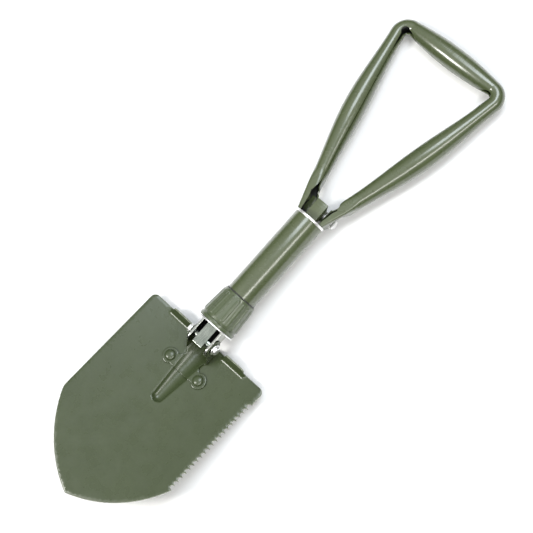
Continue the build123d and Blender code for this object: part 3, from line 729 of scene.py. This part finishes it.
# ------------------------------------------------------------------ shaft tube and its rings
def ring_profile(low, high, inner, outer, edge):
    return rounded([(low, inner), (low, outer), (high, outer), (high, inner)], edge, 3)


tube = lathe(Shape(), ring_profile(TUBE_LOW, TUBE_HIGH, TUBE_RADIUS - TUBE_WALL, TUBE_RADIUS, 0.3),
             count=160)
make_piece("shaft_body", tube, HANDLE_PAINT, "shaft", ["shaft_tube"])

end_ring = lathe(Shape(), ring_profile(TUBE_HIGH, RIM, TUBE_RADIUS - TUBE_WALL, RING_RADIUS, 0.45),
                 count=160)
make_piece("end_ring", end_ring, BRIGHT, "shaft", ["shaft_end_ring"])

THRUST_BORE = 16.2
thrust = lathe(Shape(), ring_profile(thrust_low_corner.y, thrust_high_corner.y, THRUST_BORE,
                                     thrust_high_corner.x, 0.4), count=160)
make_piece("thrust_washer", thrust, BRIGHT, "thrust", ["thrust_ring"])

seal = lathe(Shape(), ring_profile(seal_low_corner.y, seal_high_corner.y, TUBE_RADIUS + 0.2,
                                   seal_high_corner.x, 0.3), count=128)
make_piece("seal_ring", seal, RUBBER, "collar", ["collar_seal"])


# ------------------------------------------------------------------ locking collar
RIB_COUNT, RIB_HALF, RIB_HEIGHT, RIB_POINTS = 16, 1.9, 0.6, 22
FLANGE_HEIGHT, FLANGE_TRIM, GROOVE_HEIGHT, GROOVE_RADIUS = 4.0, 0.4, 1.8, 18.5
NUT_BASE, NUT_TOP, NUT_BORE, LIP_BORE, LIP_LOW = 20.3, 17.8, 17.6, 16.6, 43.5
OUTER_SKIN = 17.12


def collar_shape():
    """A turned nut: rolled flange, undercut groove, tapered body with raised round-ended ribs."""
    flange_top, flange_radius = COLLAR_LOW + FLANGE_HEIGHT, FLANGE_RADIUS - FLANGE_TRIM
    body_low = flange_top + GROOVE_HEIGHT
    slope = (NUT_TOP - NUT_BASE) / (COLLAR_HIGH - flange_top)
    body_radius = lambda y: NUT_BASE + slope * (y - flange_top)
    lower = rounded([
        (COLLAR_LOW, NUT_BORE), (COLLAR_LOW, flange_radius), (flange_top, flange_radius),
        (flange_top, GROOVE_RADIUS), (body_low, GROOVE_RADIUS), (body_low, body_radius(body_low)),
        (body_low + 1, body_radius(body_low + 1))], [0.3, 0.9, 1.1, 0.3, 0.3, 0.5, 0], 4)[:-1]
    upper = [(y, body_radius(y)) for y in np.arange(body_low + 0.8, COLLAR_HIGH - 0.8, 0.4)]
    end = [(COLLAR_HIGH - 0.75, body_radius(COLLAR_HIGH - 0.75)),
           (COLLAR_HIGH - 0.3, NUT_TOP - 0.1), (COLLAR_HIGH, NUT_TOP - 0.45),
           (COLLAR_HIGH, LIP_BORE), (LIP_LOW, LIP_BORE), (LIP_LOW, NUT_BORE)]
    start = lower.index(max(lower, key=lambda p: -p[0]))
    profile = lower[start:] + lower[:start] + upper + end
    rib_low, rib_high = body_low + 0.7, COLLAR_HIGH - 2.4
    count, middle = RIB_COUNT * RIB_POINTS, RIB_POINTS // 2
    points, size = [], len(profile)
    for k in range(count):
        angle = 2 * math.pi * k / count
        across = ((k + middle) % RIB_POINTS - middle) / RIB_POINTS * 2 * math.pi / RIB_COUNT
        for y, r in profile:
            lift = 0.0
            if body_low + 0.5 < y < COLLAR_HIGH - 0.5 and r > OUTER_SKIN:
                reach = max(rib_low + RIB_HALF - y, y - (rib_high - RIB_HALF), 0.0)
                gap = RIB_HALF - math.hypot(across * r, reach)
                lift = RIB_HEIGHT * float(smooth_step(gap / 1.0 + 0.15))
            points.append(((r + lift) * math.sin(angle), y, (r + lift) * math.cos(angle)))
    faces = []
    for k in range(count):
        n = (k + 1) % count
        faces += [(k * size + i, k * size + (i + 1) % size, n * size + (i + 1) % size, n * size + i)
                  for i in range(size)]
    return Shape().add(points, faces)


make_piece("collar_nut", collar_shape(), COLLAR_PAINT, "collar", ["locking_collar"],
           sharp=50.0)


# ------------------------------------------------------------------ handle mount on the shaft
def across_x(a, b, level):
    return (level, a, b)


PLUG_LOW, PLUG_HIGH, PLUG_RADIUS = TUBE_HIGH - 17.0, TUBE_HIGH + 0.4, 14.8
WEB_ROOT, WEB_BACK, YOKE_LUG_RADIUS = TUBE_HIGH - 8.0, -13.2, 6.0
yoke = Shape()
plug = rounded([(PLUG_LOW, 0), (PLUG_LOW, PLUG_RADIUS), (PLUG_HIGH, PLUG_RADIUS), (PLUG_HIGH, 0)],
               [0, 0.4, 0.6, 0], 3)
lathe(yoke, plug, count=96)
TONGUE_HALF, TONGUE_FRONT, TONGUE_TOP = 6.6, 3.2, spring_high_corner.y
lug = [(handle_pin.y + YOKE_LUG_RADIUS * math.cos(a), handle_pin.z + YOKE_LUG_RADIUS * math.sin(a))
       for a in np.linspace(math.radians(45), math.radians(-150), 18)]
web = [(WEB_ROOT, TONGUE_FRONT), (TONGUE_TOP - 1.0, TONGUE_FRONT),
       (TONGUE_TOP - 3.0, TONGUE_FRONT - 3.0)] + lug + [(WEB_ROOT, WEB_BACK)]
prism(yoke, web, -TONGUE_HALF, TONGUE_HALF, across_x)
make_piece("tongue_block", yoke, HANDLE_PAINT, "shaft", ["handle_yoke"], bevel=0.5)

strap = Shape()
half = spring_high_corner.x
outline = rounded([(-half, spring_low_corner.y), (half, spring_low_corner.y),
                   (half, TONGUE_TOP), (-half, TONGUE_TOP)], [0.3, 0.3, 1.3, 1.3], 5)
prism(strap, outline, spring_low_corner.z, spring_high_corner.z, lambda a, b, c: (a, b, c))
make_piece("tongue_spring", strap, HANDLE_PAINT, "shaft", ["handle_spring"],
           bevel=0.45)


# ------------------------------------------------------------------ handle frame
def arm_line():
    """Lower end, upper end and lean of one arm's straight line, as in the CAD."""
    centre = Vector((BEND_X, GRIP_Y - BEND_RADIUS))
    run = centre - ARM_LOW
    lean = math.atan2(run.x, run.y) + math.asin(BEND_RADIUS / run.length)
    out = Vector((math.cos(lean), -math.sin(lean)))
    return ARM_LOW, centre + out * BEND_RADIUS, lean


PIN_PAD = 6.4
ARM_START, EAR_STRAIGHT, EAR_LEAVES, EAR_MIDWAY = 203.0, 177.0, 178.0, (186.0, 13.4)
bush_low_corner, bush_high_corner = node_box("handle_bushes")
BUSH_RADIUS = (bush_high_corner.z - bush_low_corner.z) / 2 + 0.05


def eased(y, ys, xs, blur=2.5):
    return float(np.mean([np.interp(y + d, ys, xs) for d in np.linspace(-blur, blur, 9)]))


def stations():
    """Sections of the +X half from the ear's end to the middle of the grip.

    Each is (centre x, y, tangent angle from +Y towards -X, half width, half depth, centre z,
    squareness, middle of the seam's gap, half of it in degrees, share of the bend, of the grip).
    The gap is measured from the inner side of the triangle towards the digging side.
    """
    low, high, lean = arm_line()
    run = high - low
    side = Vector((math.cos(lean), -math.sin(lean)))
    arm = []
    for share in np.linspace(0.0, 1.0, 90):
        swell = math.sin(math.pi * share) ** 2
        bow = ARM_BOW * math.sin(math.pi * share)
        centre = low + run * share + side * bow
        if centre.y < ARM_START:
            continue
        radius = ARM_END_RADIUS + (ARM_MID_RADIUS - ARM_END_RADIUS) * swell
        turn = math.atan(ARM_BOW * math.pi / run.length * math.cos(math.pi * share))
        near = float(smooth_step((share - 0.88) / 0.12))
        arm.append((centre.x, centre.y, -lean - turn, radius, radius, HANDLE_Z, 0.0,
                    42.0 - 10.0 * near, 2.6 + 14.0 * near, 0.3 * near, 0.0))
    x, y, turn, radius = arm[0][:4]
    c, s = math.cos(turn), math.sin(-turn)
    outer_y, outer_x = (RIM, y - radius * s), (EAR_OUTER, x + radius * c)
    inner_y = (RIM, EAR_STRAIGHT, EAR_MIDWAY[0], y + radius * s)
    inner_x = (EAR_INNER, EAR_INNER, EAR_MIDWAY[1], x - radius * c)
    out = []
    for level in np.arange(RIM + 0.3, y - 0.4, 0.8):
        blend = float(smooth_step((level - EAR_LEAVES) / (y - EAR_LEAVES)))
        lean_here, half = -turn * blend, 4.0
        for _ in range(4):
            outer = eased(level - half * math.sin(lean_here), outer_y, outer_x, 0.5)
            inner = eased(level + half * math.sin(lean_here), inner_y, inner_x)
            half = (outer - inner) / 2 / math.cos(lean_here)
        depth = (EAR_FRONT - EAR_BACK) / 2 * (1 - blend) + radius * blend
        centre_z = (EAR_FRONT + EAR_BACK) / 2 * (1 - blend) + HANDLE_Z * blend
        shut = float(smooth_step((level - 181.0) / 15.0))
        out.append(((outer + inner) / 2, level, -lean_here, half, depth, centre_z,
                    (1 - blend) ** 0.7, 36.0 + 6.0 * shut, 54.0 - 51.4 * shut, 0.0, 0.0))
    out += arm
    centre = Vector((BEND_X, GRIP_Y - BEND_RADIUS))
    sweep = math.pi / 2 + lean
    for k in range(1, 26):
        angle = -lean + sweep * k / 26
        place = centre + Vector((math.cos(angle), math.sin(angle))) * BEND_RADIUS
        pinch = math.sin(math.pi * k / 26)
        out.append((place.x, place.y, angle, ARM_END_RADIUS, ARM_END_RADIUS, HANDLE_Z, 0.0,
                    32.0 + 4.0 * pinch, 16.6 + 22.0 * pinch, 0.3 + 0.7 * pinch, 0.0))
    sagitta = GRIP_MID_RADIUS - ARM_END_RADIUS
    arc = (BEND_X ** 2 + sagitta ** 2) / (2 * sagitta)
    for x in np.arange(BEND_X, -0.01, -0.55):
        radius = GRIP_MID_RADIUS - (arc - math.sqrt(arc ** 2 - x ** 2))
        near = float(smooth_step((x - BEND_X + 13.0) / 13.0))
        out.append((x, GRIP_Y, math.pi / 2, radius, radius, HANDLE_Z, 0.0, 4.0 + 28.0 * near,
                    1.6 + 15.0 * near, 0.3 * near, float(smooth_step((46.0 - x) / 5.0))))
    return out


def clear_of_pin(point):
    """Keeps the ear flat under the pin's washer and open around its bush."""
    d = Vector((point.y - handle_pin.y, point.z - handle_pin.z))
    limit = EAR_OUTER - 0.02 + max(0.0, d.length - PIN_PAD) * 0.9
    point.x = math.copysign(min(abs(point.x), limit), point.x)
    if d.length < BUSH_RADIUS:
        d = d.normalized() * BUSH_RADIUS
        point.y, point.z = handle_pin.y + d.x, handle_pin.z + d.y
    return point


def handle_shape():
    """The rolled tube: a thin wall with its seam facing into the triangle, all the way round."""
    half = stations()
    whole = [(s, 1) for s in half] + [(s, -1) for s in reversed(half[:-1])]
    around = 48
    points, size = [], 2 * around
    for (x, y, turn, wide, deep, z, square, middle, gap, bend, grip), side in whole:
        tangent = Vector((-math.sin(turn), math.cos(turn)))
        inward = Vector((-tangent.y, tangent.x))
        if side > 0:
            middle, gap = middle - 20.0 * bend, gap * (1 - 0.35 * bend)
        first, last = math.radians(middle + gap), math.radians(360 + middle - gap)
        power = 2.0 / (2.0 + 3.2 * square)
        rings = []
        for wall in (0.0, FRAME_WALL):
            for k in range(around):
                angle = first + (last - first) * k / (around - 1)
                c, s = math.cos(angle), math.sin(angle)
                a = math.copysign(abs(c) ** power, c) * (wide - wall)
                b = math.copysign(abs(s) ** power, s) * (deep - wall)
                if grip and not wall and c < 0.25:
                    share = float(smooth_step((0.25 - c) / 0.5)) * grip
                    ridge = 0.5 + 0.5 * math.cos(2 * math.pi * x / 2.2)
                    scale = 1 - 0.16 * share * ridge / wide
                    a, b = a * scale, b * scale
                place = Vector((x, y)) + inward * a
                rings.append(clear_of_pin(Vector((side * place.x, place.y, z + b))))
        points += rings[:around] + rings[around:][::-1]
    outside, inside_faces = [], []
    for k in range(len(whole) - 1):
        for i in range(size):
            j = (i + 1) % size
            target = inside_faces if around <= i < size - 1 else outside
            target.append((k * size + i, k * size + j, (k + 1) * size + j, (k + 1) * size + i))
    for k in (0, len(whole) - 1):
        for i in range(around - 1):
            outside.append((k * size + i, k * size + i + 1, k * size + size - 2 - i,
                            k * size + size - 1 - i))
    shape = Shape().add(points, outside + inside_faces)
    # The inner wall takes the near-black inside finish, painted shade for the tube's hollow.
    shape.slots[len(outside):] = [1] * len(inside_faces)
    return shape


LOBE_RADIUS = 6.5


def lobe_reach(angle):
    """Distance from the pin to the lobe's edge: round below, square where it joins the ear."""
    c, s = math.cos(angle), math.sin(angle)
    if s < 0:
        return LOBE_RADIUS
    across = (10.0 if c > 0 else LOBE_RADIUS) / max(abs(c), 1e-6)
    return max(LOBE_RADIUS * (1 - s), min(across, (EAR_BACK + 2.0 - handle_pin.z) / max(s, 1e-6)))


def add_lobe(shape, side):
    low, high = sorted((side * (EAR_INNER + 0.02), side * (EAR_OUTER - 0.02)))
    count, points = 72, []
    angles = [2 * math.pi * k / count for k in range(count)]
    for x, edge in ((low, 0.0), (low, 0.4), (high, 0.4), (high, 0.0)):
        level = x if edge else x + (0.4 if x == low else -0.4)
        for a in angles:
            reach = lobe_reach(a) - edge
            points.append((level, handle_pin.y + reach * math.cos(a),
                           handle_pin.z + reach * math.sin(a)))
    for x in (low, high):
        points += [(x, handle_pin.y + BUSH_RADIUS * math.cos(a),
                    handle_pin.z + BUSH_RADIUS * math.sin(a)) for a in angles]
    loops = [4, 1, 0, 3, 2, 5]
    faces = []
    for m, loop in enumerate(loops):
        after = loops[(m + 1) % len(loops)]
        faces += [(loop * count + k, loop * count + (k + 1) % count,
                   after * count + (k + 1) % count, after * count + k) for k in range(count)]
    return shape.add(points, faces)


handle = handle_shape()
for side in (-1, 1):
    add_lobe(handle, side)
make_piece("handle_tube", handle, [HANDLE_PAINT, INSIDE_SHADE_PAINT], "handle", ["handle_frame"],
           sharp=42.0)


# ------------------------------------------------------------------ CAD pieces kept
def dress(name, material, edge=0.25):
    """Gives a kept CAD node its finish and breaks its edges."""
    obj = frame["nodes"][name]
    obj.data.materials.clear()
    obj.data.materials.append(material)
    weld = obj.modifiers.new("weld", "WELD")
    weld.merge_threshold = 1e-6
    rounding = obj.modifiers.new("edges", "BEVEL")
    rounding.width = edge * MM
    rounding.segments = 3
    rounding.limit_method = "ANGLE"
    rounding.angle_limit = math.radians(40)
    rounding.harden_normals = True
    return obj


for node_name, material, edge in (
        ("fork", FORK_ZINC, 0.6), ("fork_spacer", LEAF_STEEL, 0.2), ("fork_pins", PIN_STEEL, 0.2),
        ("locking_leaf", LEAF_STEEL, 0.35), ("threaded_sleeve", ZINC, 0.15),
        ("blade_pivot_pin", PIN_STEEL, 0.3), ("blade_pivot_washers", PIN_STEEL, 0.2),
        ("yoke_rivet", PIN_STEEL, 0.3), ("handle_pivot_pin", PIN_STEEL, 0.3),
        ("handle_pivot_washers", PIN_STEEL, 0.2), ("pivot_spacers", PIN_STEEL, 0.2),
        ("handle_bushes", BRASS, 0.15)):
    dress(node_name, material, edge)

# A plate closing the back of the fork's open slots, near black as painted shade. It has no CAD node.
fork_low_corner, fork_high_corner = node_box("fork")
web_half, web_low, web_high = fork_high_corner.x - 2.6, 3.0, COLLAR_LOW + 6.0
web_back, web_front = fork_low_corner.z + 0.3, fork_low_corner.z + 1.8
fork_web = rounded([(-web_half, web_low), (web_half, web_low), (web_half, web_high),
                    (-web_half, web_high)], 0.5, 3)
make_piece("fork_web", prism(Shape(), fork_web, web_back, web_front, lambda a, b, c: (a, b, c)),
           INSIDE_SHADE_PAINT, "shaft", ())

# ------------------------------------------------------------------ floor, light and camera
FLOOR_SLOPE = math.radians(2.1)
FLOOR_CONTACT_Y = -40.0
FLOOR_LEVEL = -0.0006
floor_mesh = bpy.data.meshes.new("floor")
reach = 4.0
floor_mesh.from_pydata([(-reach, -reach, 0), (reach, -reach, 0), (reach, reach, 0),
                        (-reach, reach, 0)], [], [(0, 1, 2, 3)])
floor = bpy.data.objects.new("floor", floor_mesh)
bpy.context.scene.collection.objects.link(floor)
floor.location = (0.0, pivot.y + FLOOR_CONTACT_Y * MM, FLOOR_LEVEL)
floor.rotation_euler = (FLOOR_SLOPE, 0.0, 0.0)
floor_mesh.materials.append(floor_finish("floor_white"))


def softbox(name, direction, distance, width, length, power, colour):
    """An area light facing the shovel from `direction`, in degrees to +X and to +Y.

    Its length runs along Y and its width across the shovel.
    """
    lean_x, lean_y = (math.radians(a) for a in direction)
    toward = Vector((math.sin(lean_x) * math.cos(lean_y), math.sin(lean_y),
                     math.cos(lean_x) * math.cos(lean_y)))
    light = bpy.data.lights.new(name, "AREA")
    light.shape = "RECTANGLE"
    light.size, light.size_y = length, width
    light.energy = power
    light.color = colour
    obj = bpy.data.objects.new(name, light)
    bpy.context.scene.collection.objects.link(obj)
    obj.location = toward * distance
    obj.rotation_mode = "QUATERNION"
    obj.rotation_quaternion = toward.to_track_quat("Z", "Y")


softbox("key", (36.0, -8.0), 2.4, 0.42, 2.6, 30.0, (1.0, 0.99, 0.96))
softbox("fill", (-22.0, -30.0), 2.4, 0.60, 0.60, 34.0, (1.0, 0.99, 0.95))
softbox("top", (-2.0, 28.0), 2.6, 1.4, 1.0, 34.0, (0.86, 0.93, 1.0))

world = bpy.data.worlds.new("studio")
bpy.context.scene.world = world
world.use_nodes = True
tree = world.node_tree
background = tree.nodes["Background"]
coordinates = tree.nodes.new("ShaderNodeTexCoord")
split = tree.nodes.new("ShaderNodeSeparateXYZ")
sky = tree.nodes.new("ShaderNodeValToRGB")
tree.links.new(coordinates.outputs["Generated"], split.inputs["Vector"])
tree.links.new(split.outputs["Z"], sky.inputs["Fac"])
for element, (place, level) in zip(
        [sky.color_ramp.elements[0], sky.color_ramp.elements[1], sky.color_ramp.elements.new(0.5)],
        [(0.0, 0.02), (1.0, 0.26), (0.35, 0.06)]):
    element.position = place
    element.color = (level, level, level * 1.01, 1.0)
# The backdrop itself shows pale; what lights the shovel is the darker sky.
path = tree.nodes.new("ShaderNodeLightPath")
seen = tree.nodes.new("ShaderNodeMix")
seen.data_type = "RGBA"
seen.inputs["B"].default_value = (0.93, 0.93, 0.94, 1.0)
tree.links.new(path.outputs["Is Camera Ray"], seen.inputs["Factor"])
tree.links.new(sky.outputs["Color"], seen.inputs["A"])
tree.links.new(seen.outputs["Result"], background.inputs["Color"])
background.inputs["Strength"].default_value = 1.0

bpy.context.scene.view_settings.view_transform = "Standard"

CAMERA_PLACE, CAMERA_TURN, CAMERA_LENS = (414.1, 68.9, 1222.2), (13.543, 13.178, 42.999), 88.5
camera_data = bpy.data.cameras.new("camera")
camera_data.lens = CAMERA_LENS
camera_data.sensor_width = 36.0
camera = bpy.data.objects.new("camera", camera_data)
bpy.context.scene.collection.objects.link(camera)
camera.location = pivot + Vector(CAMERA_PLACE) * MM
camera.rotation_euler = [math.radians(a) for a in CAMERA_TURN]
bpy.context.scene.camera = camera

bpy.context.view_layer.update()
